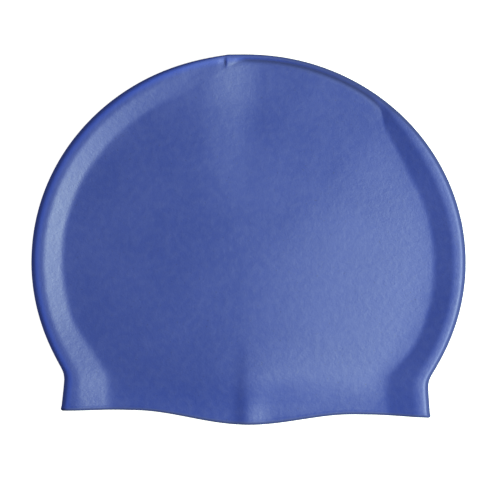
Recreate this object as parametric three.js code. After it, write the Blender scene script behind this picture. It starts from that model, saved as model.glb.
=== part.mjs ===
// Swim cap: one moulded silicone skin, lying on its back half with its mouth towards -Y.
// Lengths are millimetres, +Z is up, and the dome's centre is where its widest line crosses the mid-line.
// The skin is a sheet of columns and lanes. A column runs from the mid-line of the front half out to the
// fold and back underneath; its bearing is 0 at the right, 90 at the crown and 180 at the left. Below the
// dome's centre the columns are level rows, and their bearings go on to the corners of the mouth.
import * as THREE from 'three';

// Outline, seen from above
const DOME_WIDTH = 220; // across the folds at the widest line
const DOME_RISE = 105; // widest line to crown
const NECK_WIDTH = 184; // the narrowest line, above the rim band
const NECK_DROP = 61; // widest line to the neck
const NECK_FILLET = 1.5; // how softly the dome runs into the neck
const RIM_WIDTH = 187; // across the mouth's corners
const RIM_DROP = 76; // widest line to the level parts of the rim
const LOBE_DEPTH = 6.5; // how much lower the rim hangs at its middle
const LOBE_WIDTH = 113; // the whole hanging part of the rim
const CORNER_DIP = 1; // how much lower the mouth's corners lie
const CORNER_WIDTH = 30; // the dipping part at each corner
const WAVE_FADE = 4; // how quickly the wave levels out above the rim, as a power of the drop

// Thickness and height
const WALL = 0.7; // the skin
const RIM_WALL = 1.4; // the skin at the thicker rim
const RIM_EDGE = 3; // height of that thicker rim
const VALLEY_HEIGHT = 8; // floor to the valley that runs inside the fold
const VALLEY_WIDTH = 17; // fold to that valley, along the sides
const RIDGE_RISE = 3.2; // valley to the ridge that the fold's loop makes
const FOLD_RADIUS = 4.5; // fold to the top of that ridge
const ROLL_POWER = 3.2; // how squarely the ridge turns down to the fold; 2 would be a quarter ellipse
const FLANK_FOOT = 0.3; // the part of the ridge's inner flank that curves up out of the valley
const FLANK_TOP = 0.25; // the part of that flank that curves over to the ridge
const BELLY_WIDTH = 5.5; // fold to where the back half meets the floor
const BULGE = 6.6; // how far the front face rises above the valley at its middle
const BULGE_TOP = 0.3; // how rounded the bulge's top is, as a share of its reach
const BULGE_FOOT = 0.1; // how softly it runs out at its foot, as a share of its height
const BAND_BULGE = 2.8; // the same rise at the stiffer rim band
const BAND_HEIGHT = 12.5; // height of that band
const BAND_BLEND = 18; // how far the face takes to turn into the band
const PEAK_RISE = 1.3; // the peak at the rim's middle
const PEAK_LEFT = 4.5; // how far its steep left flank falls away
const PEAK_RIGHT = 8; // how far its right flank falls away at the rim
const PEAK_SPREAD = 20; // how much wider the right flank gets by where the peak runs out
const PEAK_LENGTH = 45; // rim to where the peak runs out
const PEAK_OFFSET = 0.6; // the peak lies right of the mid-line
const FAN_DROP = 3.6; // how far the face drops towards the right at the crown, below the nick
const FAN_WIDTH = 32; // across that drop
const FAN_LENGTH = 90; // crown to where it runs out
const FAN_OFFSET = 10.4; // the drop lies left of the mid-line
const FAN_FADE = 90; // how far to either side the face takes to be level again

// The border, station by station: bearing in degrees, valley distance as a share of VALLEY_WIDTH, ridge distance
// as a share of FOLD_RADIUS, rise as a share of RIDGE_RISE, height of the fold itself as a share of the ridge's,
// and the bulge's reach as a share of the column. From 52 to 97 degrees the fold is creased tight; elsewhere it
// is an open loop.
const BORDER = [
  { bearing: -40, valley: 1.4, round: 1.05, rise: 0.9, edge: 0.5, face: 0.7 },
  { bearing: -30, valley: 1.42, round: 1.05, rise: 1.0, edge: 0.5, face: 0.72 },
  { bearing: -22, valley: 1.12, round: 1.0, rise: 1.0, edge: 0.5, face: 0.77 },
  { bearing: -9, valley: 1.04, round: 1.0, rise: 1.0, edge: 0.5, face: 0.82 },
  { bearing: 0, valley: 1.06, round: 1.05, rise: 1.0, edge: 0.5, face: 0.83 },
  { bearing: 29, valley: 1.06, round: 1.0, rise: 1.0, edge: 0.5, face: 0.83 },
  { bearing: 38, valley: 0.94, round: 0.9, rise: 0.95, edge: 0.51, face: 0.83 },
  { bearing: 47, valley: 0.68, round: 0.62, rise: 0.62, edge: 0.56, face: 0.82 },
  { bearing: 52, valley: 0.3, round: 0.36, rise: 0.18, edge: 0.63, face: 0.8 },
  { bearing: 58, valley: 0.22, round: 0.28, rise: 0.1, edge: 0.66, face: 0.78 },
  { bearing: 75, valley: 0.22, round: 0.28, rise: 0.1, edge: 0.66, face: 0.75 },
  { bearing: 92, valley: 0.22, round: 0.28, rise: 0.1, edge: 0.66, face: 0.75 },
  { bearing: 97, valley: 0.4, round: 0.3, rise: 0.18, edge: 0.64, face: 0.76 },
  { bearing: 104, valley: 0.76, round: 0.52, rise: 0.46, edge: 0.58, face: 0.78 },
  { bearing: 112, valley: 0.95, round: 0.75, rise: 0.76, edge: 0.54, face: 0.81 },
  { bearing: 130, valley: 1.0, round: 1.0, rise: 1.0, edge: 0.5, face: 0.84 },
  { bearing: 180, valley: 1.06, round: 1.0, rise: 1.0, edge: 0.5, face: 0.84 },
  { bearing: 195, valley: 1.11, round: 1.0, rise: 1.0, edge: 0.5, face: 0.83 },
  { bearing: 204, valley: 1.35, round: 1.05, rise: 1.0, edge: 0.5, face: 0.78 },
  { bearing: 212, valley: 1.5, round: 1.1, rise: 1.0, edge: 0.5, face: 0.74 },
  { bearing: 220, valley: 1.66, round: 1.15, rise: 0.9, edge: 0.5, face: 0.7 },
];
const RIM_BEARING = 40; // of the mouth's corners, below the widest line

// Steps of the sheet
const FAN_STEPS = 42; // columns round the dome, from the right fold to the left
const SIDE_STEPS = 12; // rows from the widest line down to the thicker rim
const EDGE_STEPS = 2; // rows of that rim
const FACE_STEPS = 8; // lanes from the mid-line to the valley
const FLANK_STEPS = 6; // lanes from the valley up to the ridge
const ROLL_STEPS = 4; // lanes from the ridge to the fold
const BELLY_STEPS = 4; // lanes from the fold to the floor
const BASE_STEPS = 8; // lanes from there back to the mid-line
const LANE_CROWDING = 0.3; // how far the face's lanes crowd towards the valley, from 0, evenly spread, to 1

const { cos, sin, sqrt, abs, max, min, exp, PI, hypot } = Math;
const { lerp, degToRad, smoothstep } = THREE.MathUtils;

// Rises smoothly from 0 at low to 1 at high
const ramp = (low, high, value) => smoothstep(value, low, high);

// The area under that ramp up to value, which goes on growing by one for each unit beyond high
const rampArea = (low, high, value) => {
  const u = min(max((value - low) / (high - low), 0), 1);
  return (high - low) * (u ** 3 - u ** 4 / 2) + max(value - high, 0);
};

// The named column of BORDER at a bearing, on a smooth curve through the stations that never overshoots them
function border(column, bearing) {
  const last = BORDER.length - 2;
  const found = BORDER.findIndex((row) => row.bearing > bearing);
  const at = found < 0 ? last : max(found - 1, 0);
  const rise = (index) => {
    const here = BORDER[min(max(index, 0), last)];
    const next = BORDER[min(max(index, 0), last) + 1];
    return (next[column] - here[column]) / (next.bearing - here.bearing);
  };
  const slope = (before, after) => (before * after > 0 ? (2 * before * after) / (before + after) : 0);
  const [from, to] = [BORDER[at], BORDER[at + 1]];
  const span = to.bearing - from.bearing;
  const t = (bearing - from.bearing) / span;
  const leaving = slope(rise(at - 1), rise(at)) * span;
  const arriving = slope(rise(at), rise(at + 1)) * span;
  return (
    from[column] * (1 + 2 * t) * (1 - t) ** 2 +
    to[column] * (3 - 2 * t) * t ** 2 +
    leaving * t * (1 - t) ** 2 -
    arriving * (1 - t) * t ** 2
  );
}

// Half the outline's width at a level y: the dome's ellipse, run softly into the flaring neck
function halfWidth(y) {
  const dome = (DOME_WIDTH / 2) * sqrt(max(1 - (y / DOME_RISE) ** 2, 0));
  const below = (-y - NECK_DROP) / (RIM_DROP - NECK_DROP);
  const neck = (NECK_WIDTH + (RIM_WIDTH - NECK_WIDTH) * max(below, 0)) / 2;
  const gap = dome - neck;
  return y < 0 ? (dome + neck + sqrt(gap ** 2 + NECK_FILLET ** 2)) / 2 : dome;
}

// How far the rim lies below its level parts at x: a lobe in the middle and a dip at each corner
function rimWave(x) {
  const lobe = LOBE_DEPTH * cos((PI / 2) * min(abs(x) / (LOBE_WIDTH / 2), 1)) ** 2;
  const corner = CORNER_DIP * ramp(RIM_WIDTH / 2 - CORNER_WIDTH, RIM_WIDTH / 2, abs(x));
  return lobe + corner;
}

// A column knows its bearing, its length on the plan and the plan point at a share of that length
function fanColumn(bearing) {
  const turn = degToRad(bearing);
  const tip = [(DOME_WIDTH / 2) * cos(turn), DOME_RISE * sin(turn)];
  return { bearing, length: hypot(...tip), at: (share) => [tip[0] * share, tip[1] * share], drop: 0 };
}

function sideColumn(drop, side) {
  const reach = halfWidth(-drop);
  const wave = (drop / RIM_DROP) ** WAVE_FADE;
  const below = (RIM_BEARING * drop) / RIM_DROP;
  return {
    bearing: side > 0 ? -below : 180 + below,
    length: reach,
    at: (share) => [side * reach * share, -drop - wave * rimWave(reach * share)],
    drop,
  };
}

function columns() {
  const edgeTop = RIM_DROP - RIM_EDGE;
  const drops = [];
  for (let i = 1; i <= SIDE_STEPS; i += 1) drops.push((edgeTop * i) / SIDE_STEPS);
  for (let i = 1; i <= EDGE_STEPS; i += 1) drops.push(edgeTop + (RIM_EDGE * i) / EDGE_STEPS);
  const fan = [];
  for (let i = 0; i <= FAN_STEPS; i += 1) fan.push(fanColumn((180 * i) / FAN_STEPS));
  const right = drops.map((drop) => sideColumn(drop, 1)).reverse();
  const left = drops.map((drop) => sideColumn(drop, -1));
  return { list: [...right, ...fan, ...left], side: drops.length };
}

// 0 on the dome, 1 in the rim band
const inBand = (drop) => {
  const bandTop = RIM_DROP - BAND_HEIGHT;
  return ramp(bandTop - BAND_BLEND / 2, bandTop + BAND_BLEND / 2, drop);
};

// The share of the bulge's height left at a share of its reach: it falls evenly but for a round top and a soft foot
function swell(share) {
  const fall = (value) => sqrt(value ** 2 + BULGE_TOP ** 2) - BULGE_TOP;
  const soft = (value) => (value + sqrt(value ** 2 + BULGE_FOOT ** 2)) / 2;
  return soft(1 - fall(share) / fall(1)) / soft(1);
}

// The share of the ridge's rise climbed at a share of its flank: steady between the curved foot and top
function climb(flank) {
  const slope = 1 - FLANK_FOOT / 2 - FLANK_TOP / 2;
  return (rampArea(0, FLANK_FOOT, flank) - rampArea(1 - FLANK_TOP, 1, flank)) / slope;
}

// The peak at the rim's middle: a bell across x, wider on the right, that runs out up the face
function peakHeight([x, y]) {
  const fade = ramp(RIM_DROP - PEAK_LENGTH, RIM_DROP, -y);
  const across = x - PEAK_OFFSET;
  const width = across < 0 ? PEAK_LEFT : PEAK_RIGHT + PEAK_SPREAD * (1 - fade);
  return PEAK_RISE * fade * exp(-((across / width) ** 2));
}

// The fan below the nick: higher on its left, lower on its right, running out sideways and down the face
function fanHeight([x, y]) {
  const across = x + FAN_OFFSET;
  const step = 1 / 2 - ramp(-FAN_WIDTH / 2, FAN_WIDTH / 2, across);
  return FAN_DROP * step * (1 - ramp(0, FAN_FADE, abs(across))) * ramp(DOME_RISE - FAN_LENGTH, DOME_RISE, y);
}

// Height of the front half at a share of a column, inward of the ridge
function faceHeight(column, share, flank) {
  const point = column.at(share);
  const bulge = lerp(BULGE, BAND_BULGE, inBand(column.drop)) * swell(share / border('face', column.bearing));
  const rise = RIDGE_RISE * border('rise', column.bearing) * climb(flank);
  return VALLEY_HEIGHT + bulge + rise + peakHeight(point) + fanHeight(point) * (1 - flank);
}

// The outer surface of one column, lane by lane: face, flank of the ridge, roll over it to the fold, belly, base
function columnPoints(column) {
  const round = (FOLD_RADIUS * border('round', column.bearing)) / column.length;
  const valley = (VALLEY_WIDTH * border('valley', column.bearing)) / column.length;
  const belly = BELLY_WIDTH / column.length;
  const points = [];
  const add = (share, height) => points.push(new THREE.Vector3(...column.at(share), height));
  const addFace = (share, flank) => add(share, faceHeight(column, share, flank));
  for (let i = 0; i < FACE_STEPS; i += 1) {
    const even = i / FACE_STEPS;
    addFace((1 - valley) * lerp(even, sin((PI / 2) * even), LANE_CROWDING), 0);
  }
  for (let i = 0; i < FLANK_STEPS; i += 1) {
    const flank = i / FLANK_STEPS;
    addFace(lerp(1 - valley, 1 - round, flank), flank);
  }
  const crest = faceHeight(column, 1 - round, 1);
  const edge = crest * border('edge', column.bearing);
  for (let i = 0; i < ROLL_STEPS; i += 1) {
    const turn = ((PI / 2) * i) / ROLL_STEPS;
    add(1 - round + round * sin(turn) ** (2 / ROLL_POWER), edge + (crest - edge) * cos(turn) ** (2 / ROLL_POWER));
  }
  for (let i = 0; i < BELLY_STEPS; i += 1) {
    const turn = ((PI / 2) * i) / BELLY_STEPS;
    add(1 - belly + belly * cos(turn), edge * (1 - sin(turn)));
  }
  for (let i = 0; i <= BASE_STEPS; i += 1) add((1 - belly) * (1 - i / BASE_STEPS), 0);
  return points;
}

// The closed skin: the outer surface, the same sheet moved in by the wall, and the strip that joins them
// round the mouth. Left and right rows share the mid-line, and the dome's columns share its centre.
function capShell() {
  const { list, side } = columns();
  const grid = list.map(columnPoints);
  const lastColumn = grid.length - 1;
  const lastLane = grid[0].length - 1;
  const ids = new Map();
  const outer = [];
  const walls = [];
  const vertex = (column, lane) => {
    const onMidline = lane === 0 || lane === lastLane;
    const key = `${onMidline ? min(column, lastColumn - column, side) : column},${lane}`;
    if (!ids.has(key)) {
      ids.set(key, outer.length);
      outer.push(grid[column][lane]);
      walls.push(list[column].drop >= RIM_DROP - RIM_EDGE ? RIM_WALL : WALL);
    }
    return ids.get(key);
  };
  const faces = [];
  const quad = (a, b, c, d) => {
    if (a !== b && a !== d) faces.push([a, b, d]);
    if (b !== c && c !== d) faces.push([b, c, d]);
  };
  for (let i = 0; i < lastColumn; i += 1) {
    for (let j = 0; j < lastLane; j += 1) {
      quad(vertex(i, j), vertex(i, j + 1), vertex(i + 1, j + 1), vertex(i + 1, j));
    }
  }
  const skin = new THREE.BufferGeometry().setFromPoints(outer).setIndex(faces.flat());
  skin.computeVertexNormals();
  const normals = skin.getAttribute('normal');
  const inner = outer.map((point, i) => {
    const normal = new THREE.Vector3().fromBufferAttribute(normals, i);
    return point.clone().addScaledVector(normal, -walls[i]);
  });
  const under = outer.length;
  const inside = faces.map(([a, b, c]) => [under + a, under + c, under + b]);
  for (let j = 0; j < lastLane; j += 1) {
    for (const [near, far] of [[vertex(0, j), vertex(0, j + 1)], [vertex(lastColumn, j + 1), vertex(lastColumn, j)]]) {
      inside.push([near, under + near, under + far], [near, under + far, far]);
    }
  }
  const shell = new THREE.BufferGeometry().setFromPoints([...outer, ...inner]);
  shell.setIndex([...faces, ...inside].flat());
  shell.computeVertexNormals();
  return shell;
}

const silicone = new THREE.MeshStandardMaterial({ color: 0x30469a, roughness: 0.5, metalness: 0 });
const cap = new THREE.Mesh(capShell(), silicone);
cap.name = 'cap_shell';

// The origin is the middle of the cap's length and width, on the floor
cap.position.y = (RIM_DROP + LOBE_DEPTH - DOME_RISE) / 2;

const swimCap = new THREE.Group();
swimCap.add(cap);

export default swimCap;
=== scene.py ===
import math

import bpy
import numpy as np
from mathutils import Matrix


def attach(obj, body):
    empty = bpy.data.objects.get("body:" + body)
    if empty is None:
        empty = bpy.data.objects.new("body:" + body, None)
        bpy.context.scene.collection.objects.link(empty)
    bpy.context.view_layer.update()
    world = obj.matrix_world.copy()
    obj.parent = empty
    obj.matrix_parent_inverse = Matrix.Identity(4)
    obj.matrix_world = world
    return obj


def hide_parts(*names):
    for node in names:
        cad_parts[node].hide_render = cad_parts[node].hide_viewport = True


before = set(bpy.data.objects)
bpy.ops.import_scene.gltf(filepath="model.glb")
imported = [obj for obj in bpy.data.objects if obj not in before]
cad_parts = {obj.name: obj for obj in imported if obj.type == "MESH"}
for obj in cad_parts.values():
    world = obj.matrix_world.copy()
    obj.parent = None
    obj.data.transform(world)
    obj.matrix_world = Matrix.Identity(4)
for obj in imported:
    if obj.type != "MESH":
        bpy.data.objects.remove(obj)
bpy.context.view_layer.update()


# The cap: one piece of moulded silicone, solid blue, 0.7 mm thick with a thicker rim.
# It lies on its back half. Where the skin folds round to the back it stands up in a loop, which shows
# as a ridge all round but the upper right, where the fold is creased tight. The front face bulges softly.

# Outline: an ellipse for the dome, which runs below into a neck that flares to the wavy rim
DOME_WIDTH = 0.220
DOME_RISE = 0.105
NECK_WIDTH = 0.184
NECK_DROP = 0.061
NECK_FILLET = 0.0015
RIM_WIDTH = 0.187
RIM_DROP = 0.076
LOBE_DEPTH = 0.0065
LOBE_WIDTH = 0.113
CORNER_DIP = 0.001
CORNER_WIDTH = 0.030
WAVE_FADE = 4

# Wall: thicker at the rim, with a bead on the rim's upper side that fades in over BEAD_FADE above the floor.
# Here and below, a reach is how far up from the rim, or in from the fold, a change begins and ends.
WALL = 0.0007
RIM_WALL = 0.0014
THICK_REACH = (0.004, 0.001)
BEAD_BULGE = 0.00022
BEAD_REACH = (0.0024, 0.0010)
BEAD_FADE = 0.006

# Fold: the valley inside the ridge, the flank up to it, the turn down to the fold and under it
VALLEY_HEIGHT = 0.008
VALLEY_WIDTH = 0.017
RIDGE_RISE = 0.0032
FOLD_RADIUS = 0.0045
ROLL_POWER = 3.2
ROLL_POWER_LEFT = 2.6
ROLL_BEARINGS = (100, 140)
FLANK_FOOT = 0.3
FLANK_TOP = 0.25
BELLY_WIDTH = 0.0055

# Face: the bulge, lower in the stiffer rim band, the peak at the rim and the drop below the nick
BULGE = 0.0066
BULGE_TOP = 0.5
BULGE_FOOT = 0.1
BAND_BULGE = 0.0028
BAND_HEIGHT = 0.0125
BAND_BLEND = 0.018
PEAK_RISE = 0.0013
PEAK_LEFT = 0.0045
PEAK_RIGHT = 0.008
PEAK_SPREAD = 0.020
PEAK_LENGTH = 0.045
PEAK_OFFSET = 0.0006
FAN_DROP = 0.0036
FAN_WIDTH = 0.032
FAN_LENGTH = 0.090
FAN_OFFSET = 0.0104
FAN_FADE = 0.090

# Bearing in degrees round the dome, 0 at the right and 90 at the crown, running on down the sides to
# RIM_BEARING past level; distance of the valley from the fold as a share of VALLEY_WIDTH; distance of the
# ridge as a share of FOLD_RADIUS; its rise as a share of RIDGE_RISE; height of the fold's outermost line as
# a share of the ridge's; the bulge's end as a share of the column
RIM_BEARING = 40
BORDER = np.array([
    (-40, 1.40, 1.05, 0.90, 0.50, 0.70), (-30, 1.42, 1.05, 1.00, 0.50, 0.72),
    (-22, 1.12, 1.00, 1.00, 0.50, 0.77), (-9, 1.04, 1.00, 1.00, 0.50, 0.82),
    (0, 1.06, 1.05, 1.00, 0.50, 0.83), (29, 1.06, 1.00, 1.00, 0.50, 0.83),
    (38, 0.94, 0.90, 0.95, 0.51, 0.83), (47, 0.68, 0.62, 0.62, 0.56, 0.82),
    (52, 0.30, 0.36, 0.18, 0.63, 0.80), (58, 0.22, 0.28, 0.10, 0.66, 0.78),
    (75, 0.22, 0.28, 0.10, 0.66, 0.75), (92, 0.22, 0.28, 0.10, 0.66, 0.75),
    (97, 0.40, 0.30, 0.18, 0.64, 0.76), (104, 0.76, 0.52, 0.46, 0.58, 0.78),
    (112, 0.95, 0.75, 0.76, 0.54, 0.81), (130, 1.00, 1.00, 1.00, 0.50, 0.84),
    (180, 1.06, 1.00, 1.00, 0.50, 0.84), (195, 1.11, 1.00, 1.00, 0.50, 0.83),
    (204, 1.35, 1.05, 1.00, 0.50, 0.78), (212, 1.50, 1.10, 1.00, 0.50, 0.74),
    (220, 1.66, 1.15, 0.90, 0.50, 0.70),
], dtype=[(name, float) for name in ("bearing", "valley", "round", "rise", "edge", "face")])


def ramp(low, high, value):
    """3t^2 - 2t^3, where t is how far value has come from low to high, kept from 0 to 1."""
    t = np.clip((value - low) / (high - low), 0, 1)
    return t * t * (3 - 2 * t)


def ramp_area(low, high, value):
    """The area under ramp up to value: w (u^3 - u^4 / 2) within it, where u is its share and w its width,
    and growing by one for each unit beyond."""
    u = np.clip((value - low) / (high - low), 0, 1)
    return (high - low) * (u ** 3 - u ** 4 / 2) + np.maximum(value - high, 0)


def border(column, bearing):
    """Cubic through the stations, whose slope at each is the harmonic mean of the chords beside it, or 0
    where these differ in sign."""
    at, value = BORDER["bearing"], BORDER[column]
    chord = np.diff(value) / np.diff(at)
    before = np.concatenate([chord[:1], chord])
    after = np.concatenate([chord, chord[-1:]])
    same = before * after > 0
    slope = np.where(same, 2 * before * after / np.where(same, before + after, 1), 0)
    i = np.clip(np.searchsorted(at, bearing, side="right") - 1, 0, len(at) - 2)
    span = at[i + 1] - at[i]
    t = (bearing - at[i]) / span
    return (value[i] * (1 + 2 * t) * (1 - t) ** 2 + value[i + 1] * (3 - 2 * t) * t ** 2
            + slope[i] * span * t * (1 - t) ** 2 - slope[i + 1] * span * (1 - t) * t ** 2)


def half_width(y):
    """Half the ellipse's width at y, run by a soft maximum into the neck line that flares to the rim."""
    dome = DOME_WIDTH / 2 * np.sqrt(np.maximum(1 - (y / DOME_RISE) ** 2, 0))
    below = np.maximum((-y - NECK_DROP) / (RIM_DROP - NECK_DROP), 0)
    neck = (NECK_WIDTH + (RIM_WIDTH - NECK_WIDTH) * below) / 2
    return (dome + neck + np.sqrt((dome - neck) ** 2 + NECK_FILLET ** 2)) / 2


def rim_wave(x):
    """A squared cosine that hangs down in the middle, and a dip that starts CORNER_WIDTH from each corner."""
    lobe = LOBE_DEPTH * np.cos(np.pi / 2 * np.minimum(np.abs(x) / (LOBE_WIDTH / 2), 1)) ** 2
    return lobe + CORNER_DIP * ramp(RIM_WIDTH / 2 - CORNER_WIDTH, RIM_WIDTH / 2, np.abs(x))


# The sheet's columns run from the mid-line out to the fold: level rows down the neck to the rim, crowded in
# the EDGE_STRIP above the rim's edge, and a fan of them round the dome, crowded at the nick, where bearings
# are rounded so that none comes twice. The last row lies the lip's radius above the edge. The outline has
# a small corner at the nick, which sinks away over CORNER_SPAN degrees.
LIP = RIM_WALL / 2
SIDE_ROWS = 48
EDGE_ROWS = 12
EDGE_STRIP = 0.0045
FAN_COLUMNS = 181
NICK_SPAN = (92, 102)
NICK_COLUMNS = 51
NICK_BEARING = 96.5
CORNER_RISE = 0.0005
CORNER_SPAN = 3.5
drops = np.concatenate([np.linspace(0, RIM_DROP - EDGE_STRIP, SIDE_ROWS + 1)[1:],
                        np.linspace(RIM_DROP - EDGE_STRIP, RIM_DROP - LIP, EDGE_ROWS + 1)[1:]])
around = np.concatenate([np.linspace(0, 180, FAN_COLUMNS), np.linspace(*NICK_SPAN, NICK_COLUMNS)])
around = np.unique(np.round(around, 3))
SIDE = len(drops)
drop = np.concatenate([drops[::-1], 0 * around, drops])
below = RIM_BEARING * drops / RIM_DROP
bearing = np.concatenate([-below[::-1], around, 180 + below])
side_x = half_width(-drops)
corner = CORNER_RISE * np.exp(-np.abs(around - NICK_BEARING) / CORNER_SPAN)
tip_x = np.concatenate([side_x[::-1], DOME_WIDTH / 2 * np.cos(np.radians(around)), -side_x])
tip_y = np.concatenate([0 * drops, DOME_RISE * np.sin(np.radians(around)) + corner, 0 * drops])
length = np.hypot(tip_x, tip_y)


def plan(share):
    """The point on the plan at a share of each column: x is share * tip_x, y is share * tip_y - drop, and
    lower rows hang down by the rim's wave, which fades above the rim as (drop / RIM_DROP)^WAVE_FADE."""
    x = tip_x[:, None] * share
    y = tip_y[:, None] * share - drop[:, None]
    return x, y - ((drop / RIM_DROP) ** WAVE_FADE)[:, None] * rim_wave(x)


def in_band(down):
    """0 on the dome and 1 in the rim band, changing over BAND_BLEND; down is the depth below the middle."""
    top = RIM_DROP - BAND_HEIGHT
    return ramp(top - BAND_BLEND / 2, top + BAND_BLEND / 2, down)


def round_top(s):
    """sqrt(s^2 + BULGE_TOP^2) - BULGE_TOP: s itself, but for a rounded start."""
    return np.sqrt(s ** 2 + BULGE_TOP ** 2) - BULGE_TOP


def soft_foot(v):
    """(v + sqrt(v^2 + BULGE_FOOT^2)) / 2: v itself, run softly into 0 below it."""
    return (v + np.sqrt(v ** 2 + BULGE_FOOT ** 2)) / 2


def face_height(share, flank, x, y):
    """VALLEY_HEIGHT + bulge * s + rise * climb + peak + fan * (1 - climb), where s falls from 1 at the
    mid-line to 0 where the bulge ends, evenly but for a round top and a soft foot; climb grows with the
    flank's area under two ramps; the peak is a bell round the rim's middle, wider on the right, that fades
    up the face; and the fan is a ramp down across x, level again FAN_FADE to either side, that fades down
    from the crown."""
    band = in_band(drop)[:, None]
    fallen = round_top(share / border("face", bearing)[:, None]) / round_top(1)
    swell = soft_foot(1 - fallen) / soft_foot(1)
    climb = ramp_area(0, FLANK_FOOT, flank) - ramp_area(1 - FLANK_TOP, 1, flank)
    climb = climb / (1 - FLANK_FOOT / 2 - FLANK_TOP / 2)
    rise = RIDGE_RISE * border("rise", bearing)[:, None] * climb
    fade = ramp(RIM_DROP - PEAK_LENGTH, RIM_DROP, -y)
    across = x - PEAK_OFFSET
    width = np.where(across < 0, PEAK_LEFT, PEAK_RIGHT + PEAK_SPREAD * (1 - fade))
    peak = PEAK_RISE * fade * np.exp(-(across / width) ** 2)
    step = 0.5 - ramp(-FAN_WIDTH / 2, FAN_WIDTH / 2, x + FAN_OFFSET)
    step = step * (1 - ramp(0, FAN_FADE, np.abs(x + FAN_OFFSET)))
    fan = FAN_DROP * step * ramp(DOME_RISE - FAN_LENGTH, DOME_RISE, y)
    return VALLEY_HEIGHT + (BULGE * (1 - band) + BAND_BULGE * band) * swell + rise + peak + fan * (1 - climb)


# Lanes of each column, from the mid-line of the front round to the mid-line of the back. The face's lanes
# crowd towards the valley.
FACE_STEPS = 52
FLANK_STEPS = 26
ROLL_STEPS = 18
BELLY_STEPS = 10
BASE_STEPS = 14
LANE_CROWDING = 0.5


def outer_sheet():
    """Lane by lane: the face, the flank up to the ridge, from there down to the fold a quarter of a curve
    u^power + v^power = 1, rounder on the left, a quarter ellipse from the fold to the floor, and the flat
    base back to the mid-line."""
    valley = (VALLEY_WIDTH * border("valley", bearing) / length)[:, None]
    crest = (FOLD_RADIUS * border("round", bearing) / length)[:, None]
    belly = (BELLY_WIDTH / length)[:, None]
    even = (np.arange(FACE_STEPS) / FACE_STEPS)[None, :]
    part = (1 - LANE_CROWDING) * even + LANE_CROWDING * np.sin(np.pi / 2 * even)
    x, y = plan((1 - valley) * part)
    face = np.stack([x, y, face_height((1 - valley) * part, 0 * part, x, y)], -1)
    flank = (np.arange(FLANK_STEPS + 1) / FLANK_STEPS)[None, :]
    share = 1 - valley + (valley - crest) * flank
    x, y = plan(share)
    up = np.stack([x, y, face_height(share, flank, x, y)], -1)
    top = up[:, -1:, 2]
    edge = top * border("edge", bearing)[:, None]
    turn = (np.pi / 2 * np.arange(ROLL_STEPS) / ROLL_STEPS)[None, :]
    power = ROLL_POWER + (ROLL_POWER_LEFT - ROLL_POWER) * ramp(*ROLL_BEARINGS, bearing)[:, None]
    x, y = plan(1 - crest + crest * np.sin(turn) ** (2 / power))
    over = np.stack([x, y, edge + (top - edge) * np.cos(turn) ** (2 / power)], -1)
    turn = (np.pi / 2 * np.arange(BELLY_STEPS) / BELLY_STEPS)[None, :]
    x, y = plan(1 - belly + belly * np.cos(turn))
    under = np.stack([x, y, edge * (1 - np.sin(turn))], -1)
    x, y = plan((1 - belly) * (1 - np.arange(BASE_STEPS + 1) / BASE_STEPS)[None, :])
    base = np.stack([x, y, 0 * x], -1)
    return np.concatenate([face, up[:, :-1], over, under, base], 1)


# Two small creases in the sheet: a groove along the inner edge of the tight fold, between two bearings over
# which it fades in and out, and a nick at the crown
GROOVE_DEPTH = 0.0004
GROOVE_WIDTH = 0.0011
GROOVE_OFFSET = 0.0005
GROOVE_START = (49, 57)
GROOVE_END = (91, 97)
NICK_X = -0.0139
NICK_Y = 0.1010
NICK_DEPTH = 0.0006
NICK_LEFT = 0.0030
NICK_RIGHT = 0.0006
NICK_LENGTH = 0.0024


def groove(inset):
    """A bell across the tight fold's inner edge, 1 in its middle, times a ramp at each end."""
    off = inset + GROOVE_OFFSET - (VALLEY_WIDTH * border("valley", bearing))[:, None]
    tight = ramp(*GROOVE_START, bearing) * (1 - ramp(*GROOVE_END, bearing))
    return np.exp(-(off / GROOVE_WIDTH) ** 2) * tight[:, None]


def nick(x, y):
    """A bell in y times a bell in x whose left side is the wider: a pinch with one steep wall."""
    across = x - NICK_X
    width = np.where(across < 0, NICK_LEFT, NICK_RIGHT)
    return np.exp(-(across / width) ** 2 - ((y - NICK_Y) / NICK_LENGTH) ** 2)


def sheet_normals(points, ids, count):
    """Each vertex's normal: the sum over its cells of the cross product of the cell's diagonals."""
    across = points[1:, 1:] - points[:-1, :-1]
    along = points[1:, :-1] - points[:-1, 1:]
    cell = np.cross(across, along)
    total = np.zeros((count, 3))
    for corner in (ids[:-1, :-1], ids[1:, :-1], ids[1:, 1:], ids[:-1, 1:]):
        np.add.at(total, corner.ravel(), cell.reshape(-1, 3))
    return total / np.linalg.norm(total, axis=1, keepdims=True)


# The outer skin. Columns that end on the same point of a mid-line share its vertex.
sheet = outer_sheet()
COLUMNS, LANES = sheet.shape[:2]
share = np.hypot(sheet[..., 0], sheet[..., 1] + drop[:, None]) / length[:, None]
inset = (1 - share) * length[:, None]
creased = groove(inset) * (np.arange(LANES) < FACE_STEPS + FLANK_STEPS + ROLL_STEPS // 2)
pinched = nick(sheet[..., 0], sheet[..., 1]) * (np.arange(LANES) < FACE_STEPS + FLANK_STEPS + ROLL_STEPS)
sheet[..., 2] -= GROOVE_DEPTH * creased + NICK_DEPTH * pinched
column, lane = np.meshgrid(np.arange(COLUMNS), np.arange(LANES), indexing="ij")
midline = (lane == 0) | (lane == LANES - 1)
owner = np.where(midline, np.minimum(np.minimum(column, COLUMNS - 1 - column), SIDE), column)
_, first, ids = np.unique(owner * LANES + lane, return_index=True, return_inverse=True)
ids = ids.reshape(COLUMNS, LANES)
outer = sheet.reshape(-1, 3)[first]
normal = sheet_normals(sheet, ids, len(first))

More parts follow.
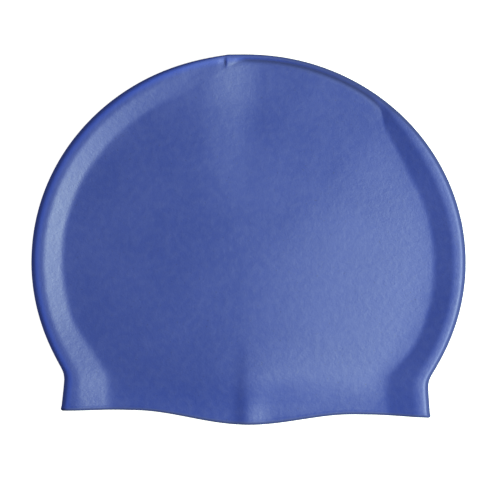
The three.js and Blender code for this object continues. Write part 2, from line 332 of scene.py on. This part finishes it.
# The inner skin lies a wall inside it, and the bead stands up along the rim's upper side
depth = np.repeat(drop, LANES)[first]
thick = ramp(RIM_DROP - THICK_REACH[0], RIM_DROP - THICK_REACH[1], depth)
inner = outer - normal * (WALL + (RIM_WALL - WALL) * thick)[:, None]
bead = ramp(RIM_DROP - BEAD_REACH[0], RIM_DROP - BEAD_REACH[1], depth) * ramp(0, BEAD_FADE, outer[:, 2])
outer = outer + normal * (BEAD_BULGE * bead)[:, None]

# Half-round lips join the two skins round the mouth
LIP_STEPS = 6
mouth = np.concatenate([ids[0], ids[-1, ::-1][1:-1]])
middle_line = (outer[mouth] + inner[mouth]) / 2
half = (outer[mouth] - inner[mouth]) / 2
turn = np.pi * np.arange(1, LIP_STEPS)[:, None, None] / LIP_STEPS
outward = np.array([0, -1, 0]) * np.linalg.norm(half, axis=1, keepdims=True)
lip = middle_line + half * np.cos(turn) + outward * np.sin(turn)

count = len(outer)
points = np.concatenate([outer, inner, lip.reshape(-1, 3)])
points[:, 1] += (RIM_DROP + LOBE_DEPTH - DOME_RISE) / 2

cell = [ids[:-1, :-1], ids[:-1, 1:], ids[1:, 1:], ids[1:, :-1]]
quads = np.stack([c.ravel() for c in cell], 1)
between = 2 * count + np.arange(lip.shape[0] * lip.shape[1]).reshape(lip.shape[:2])
rings = np.concatenate([mouth[None], between, mouth[None] + count])
ahead = np.roll(rings, -1, axis=1)
lips = np.stack([rings[:-1], rings[1:], ahead[1:], ahead[:-1]], -1).reshape(-1, 4)
faces = np.concatenate([quads, quads[:, ::-1] + count, lips])
faces = [tuple(dict.fromkeys(face)) for face in faces.tolist()]

cap_mesh = bpy.data.meshes.new("swim_cap")
cap_mesh.from_pydata(points.tolist(), [], faces)
cap_mesh.update()
cap_mesh.polygons.foreach_set("use_smooth", [True] * len(cap_mesh.polygons))

# Where the finish changes, and where shade is painted into the colour: dark painted shade along the creases,
# the nick's steep wall, the outline and the rim, though less on the left; coarser on the fold and smoother in
# the rim band; and painted shade, a deeper and more saturated blue, on the left of the fold, the side turned
# away from the softbox. The left passes into the right over these cosines of the bearing.
LEFT_TO_RIGHT = (-0.6, 0.6)
LINE_SHADE = 0.9
LINE_LEFT = 0.2
LINE_REACH = (0.0012, 0.0024)
RIM_LINE = 0.0014
FOLD_REACH = (0.0020, 0.0055)
FOLD_COARSER = 0.065
BAND_REACH = (0.017, 0.006)
BAND_SMOOTHER = 0.06


def paint(name, outside, on_lips):
    """An attribute with the sheet's own values outside, none inside and one value on the lips."""
    outside = outside.reshape(-1)[first]
    values = np.concatenate([outside, 0 * outside, np.full(lip[..., 0].size, on_lips)])
    cap_mesh.attributes.new(name, "FLOAT", "POINT").data.foreach_set("value", values)


right = ramp(*LEFT_TO_RIGHT, np.cos(np.radians(bearing)))[:, None]
# Painted shade: the groove, the nick's steep wall, the fold's outline and the rim's edge are darkened in the
# base colour, the lips fully
fold_line = (LINE_LEFT + (1 - LINE_LEFT) * right) * (1 - ramp(*LINE_REACH, inset))
rim_line = ramp(RIM_DROP - RIM_LINE, RIM_DROP - LIP, drop)[:, None]
nick_wall = pinched * np.exp(-((sheet[..., 0] - NICK_X) / NICK_RIGHT) ** 2)
shade_lines = LINE_SHADE * np.maximum(fold_line, rim_line)
paint("painted_crease_shade", np.maximum(creased, np.maximum(nick_wall, shade_lines)), LINE_SHADE)
on_fold = 1 - ramp(*FOLD_REACH, inset)
near_rim = ramp(RIM_DROP - BAND_REACH[0], RIM_DROP - BAND_REACH[1], drop)[:, None] * (1 - on_fold)
paint("finish", FOLD_COARSER * on_fold - BAND_SMOOTHER * near_rim, 0)
# Painted shade: the fold's left side, turned away from the softbox, gets a deeper, more saturated blue
paint("painted_shade_left", on_fold * (1 - right), 0)

cap = bpy.data.objects.new("swim_cap", cap_mesh)
bpy.context.scene.collection.objects.link(cap)

silicone = bpy.data.materials.new("silicone")
silicone.use_nodes = True
nodes, links = silicone.node_tree.nodes, silicone.node_tree.links
skin = nodes["Principled BSDF"]
skin.inputs["Specular IOR Level"].default_value = 1.0
skin.inputs["IOR"].default_value = 1.6
place = nodes.new("ShaderNodeTexCoord")


def noise(cells, detail):
    """Noise in the cap's own space with that many cells to the metre."""
    node = nodes.new("ShaderNodeTexNoise")
    node.inputs["Scale"].default_value = cells
    node.inputs["Detail"].default_value = detail
    links.new(place.outputs["Object"], node.inputs["Vector"])
    return node.outputs["Fac"]


def spread(value, low=0, high=1, to_low=0, to_high=1):
    """The value carried from low..high to to_low..to_high, and held at the ends."""
    node = nodes.new("ShaderNodeMapRange")
    for name, number in zip(("From Min", "From Max", "To Min", "To Max"), (low, high, to_low, to_high)):
        node.inputs[name].default_value = number
    links.new(value, node.inputs["Value"])
    return node.outputs["Result"]


def blend(amount, a, b, kind="RGBA"):
    """a * (1 - amount) + b * amount; each of the three is a socket or a constant."""
    node = nodes.new("ShaderNodeMix")
    node.data_type = kind
    sockets = [socket for socket in node.inputs if socket.enabled]
    for socket, value in zip(sockets, (amount, a, b)):
        if isinstance(value, bpy.types.NodeSocket):
            links.new(value, socket)
        else:
            socket.default_value = value
    return [socket for socket in node.outputs if socket.enabled][0]


def painted(name):
    """The value of one of the attributes above."""
    node = nodes.new("ShaderNodeAttribute")
    node.attribute_name = name
    return node.outputs["Fac"]


# Pigment clouds, the powdery bloom of talc, fine moulding grain and pebbling, a few dark specks, and painted
# shade
PIGMENT = ((0.018, 0.048, 0.355, 1), (0.024, 0.055, 0.375, 1))
TALC = (0.55, 0.62, 0.70, 1)
TALC_COVER = 0.016
# Painted shade colour for the fold's left side, which faces away from the softbox
SHADE_SIDE_BLUE = (0.018, 0.068, 0.56, 1)
SPECK = (0.012, 0.022, 0.12, 1)
SPECK_COVER = 0.5
# Painted shade colour for the creases, the nick, the outline and the rim's edge
CREASE_SHADE_BLUE = (0.010, 0.026, 0.19, 1)
SATIN = (0.49, 0.54)
CREASE_ROUGHNESS = 0.95
RELIEF_STRENGTH = 0.5
RELIEF_DEPTH = 0.00026
PEBBLE_SHARE = 0.6
GRAIN_SHARE = 0.2
clouds = spread(noise(cells=34, detail=5), low=0.35, high=0.65)
bloom = spread(noise(cells=300, detail=4), low=0.38, high=0.72)
grain = noise(cells=2400, detail=2)
pebbles = noise(cells=800, detail=3)
specks = spread(noise(cells=1100, detail=1), low=0.72, high=0.77, to_high=SPECK_COVER)
crease_shading = painted("painted_crease_shade")

blue = blend(clouds, *PIGMENT)
powdered = blend(spread(bloom, to_high=TALC_COVER), blue, TALC)
# Painted shade: the fold's left side turned to a deeper blue
shaded_left = blend(painted("painted_shade_left"), powdered, SHADE_SIDE_BLUE)
speckled = blend(specks, shaded_left, SPECK)
# Painted shade: dark blue along the creases, the nick, the outline and the rim's edge
links.new(blend(crease_shading, speckled, CREASE_SHADE_BLUE), skin.inputs["Base Color"])

mottle = blend(0.5, clouds, bloom, "FLOAT")
satin = spread(mottle, 0.2, 0.8, *SATIN)
worked = nodes.new("ShaderNodeMath")
links.new(satin, worked.inputs[0])
links.new(painted("finish"), worked.inputs[1])
links.new(blend(crease_shading, worked.outputs["Value"], CREASE_ROUGHNESS, "FLOAT"), skin.inputs["Roughness"])

relief = nodes.new("ShaderNodeBump")
relief.inputs["Strength"].default_value = RELIEF_STRENGTH
relief.inputs["Distance"].default_value = RELIEF_DEPTH
pebbled = blend(PEBBLE_SHARE, bloom, pebbles, "FLOAT")
links.new(blend(GRAIN_SHARE, pebbled, grain, "FLOAT"), relief.inputs["Height"])
links.new(relief.outputs["Normal"], skin.inputs["Normal"])
cap_mesh.materials.append(silicone)

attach(cap, "root")
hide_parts("cap_shell")


# The floor: a plain matt white board that the cap lies on.
# The camera sees it burnt out to white, as under studio light, but it throws little light on the cap.
HALF_FLOOR = 3
FLOOR_GLOW = 0.85
FLOOR_BOUNCE = 0.16

corners = [(-HALF_FLOOR, -HALF_FLOOR, 0), (HALF_FLOOR, -HALF_FLOOR, 0), (HALF_FLOOR, HALF_FLOOR, 0),
           (-HALF_FLOOR, HALF_FLOOR, 0)]
floor_mesh = bpy.data.meshes.new("floor")
floor_mesh.from_pydata(corners, [], [(0, 1, 2, 3)])
floor = bpy.data.objects.new("floor", floor_mesh)
bpy.context.scene.collection.objects.link(floor)
board = bpy.data.materials.new("board")
board.use_nodes = True
nodes, links = board.node_tree.nodes, board.node_tree.links
seen = nodes["Principled BSDF"]
seen.inputs["Base Color"].default_value = (0.9, 0.9, 0.9, 1)
seen.inputs["Roughness"].default_value = 0.9
seen.inputs["Emission Color"].default_value = (1, 1, 1, 1)
seen.inputs["Emission Strength"].default_value = FLOOR_GLOW
unseen = nodes.new("ShaderNodeBsdfDiffuse")
unseen.inputs["Color"].default_value = (FLOOR_BOUNCE, FLOOR_BOUNCE, FLOOR_BOUNCE, 1)
ray = nodes.new("ShaderNodeLightPath")
either = nodes.new("ShaderNodeMixShader")
links.new(ray.outputs["Is Camera Ray"], either.inputs["Fac"])
links.new(unseen.outputs["BSDF"], either.inputs[1])
links.new(seen.outputs["BSDF"], either.inputs[2])
links.new(either.outputs["Shader"], nodes["Material Output"].inputs["Surface"])
floor_mesh.materials.append(board)


# The light: one square softbox, 0.9 m to the right of the cap and 0.8 m up, and a pale room that is
# brightest overhead. The room gives no reflections.
SOFTBOX_PLACE = (0.90, -0.12, 0.77)
SOFTBOX_AIM = (0, 0, 0.01)
SOFTBOX_SIDE = 0.6
SOFTBOX_WATTS = 20.8
SOFTBOX_TINT = (0.82, 0.98, 0.79)
ROOM_TINT = (0.95, 0.98, 1, 1)
ROOM_HEIGHTS = (0.1, 0.9)
ROOM_STRENGTHS = (0.26, 0.46)

lamp = bpy.data.lights.new("softbox", "AREA")
lamp.shape = "RECTANGLE"
lamp.size = SOFTBOX_SIDE
lamp.size_y = SOFTBOX_SIDE
lamp.energy = SOFTBOX_WATTS
lamp.color = SOFTBOX_TINT
softbox = bpy.data.objects.new("softbox", lamp)
bpy.context.scene.collection.objects.link(softbox)
softbox.location = SOFTBOX_PLACE

# It is tilted and turned so that its face looks at SOFTBOX_AIM
offset = [a - p for a, p in zip(SOFTBOX_AIM, SOFTBOX_PLACE)]
tilt = math.atan2(math.hypot(offset[0], offset[1]), -offset[2])
softbox.rotation_euler = (tilt, 0, math.atan2(-offset[0], offset[1]))

world = bpy.data.worlds.new("room")
bpy.context.scene.world = world
world.use_nodes = True
nodes, links = world.node_tree.nodes, world.node_tree.links
backdrop = nodes["Background"]
backdrop.inputs["Color"].default_value = ROOM_TINT
way = nodes.new("ShaderNodeTexCoord")
height = nodes.new("ShaderNodeSeparateXYZ")
links.new(way.outputs["Generated"], height.inputs["Vector"])
links.new(spread(height.outputs["Z"], *ROOM_HEIGHTS, *ROOM_STRENGTHS), backdrop.inputs["Strength"])
world.cycles_visibility.glossy = False
bpy.context.scene.view_settings.view_transform = "Standard"


# The camera: it looks straight down on the cap through a long lens, 2.4 m above the floor.
# VIEW_WIDTH is what it sees across at the height of the cap's face.
CAMERA_X = 0.0006
CAMERA_Y = -0.0052
CAMERA_HEIGHT = 2.4
CAMERA_TURN = 1.1
SENSOR_WIDTH = 36
VIEW_WIDTH = 0.2528
CAP_HEIGHT = 0.010

lens = bpy.data.cameras.new("camera")
lens.sensor_width = SENSOR_WIDTH
lens.lens = SENSOR_WIDTH * (CAMERA_HEIGHT - CAP_HEIGHT) / VIEW_WIDTH
camera = bpy.data.objects.new("camera", lens)
camera.location = (CAMERA_X, CAMERA_Y, CAMERA_HEIGHT)
camera.rotation_euler = (0, 0, math.radians(CAMERA_TURN))
bpy.context.scene.collection.objects.link(camera)
bpy.context.scene.camera = camera
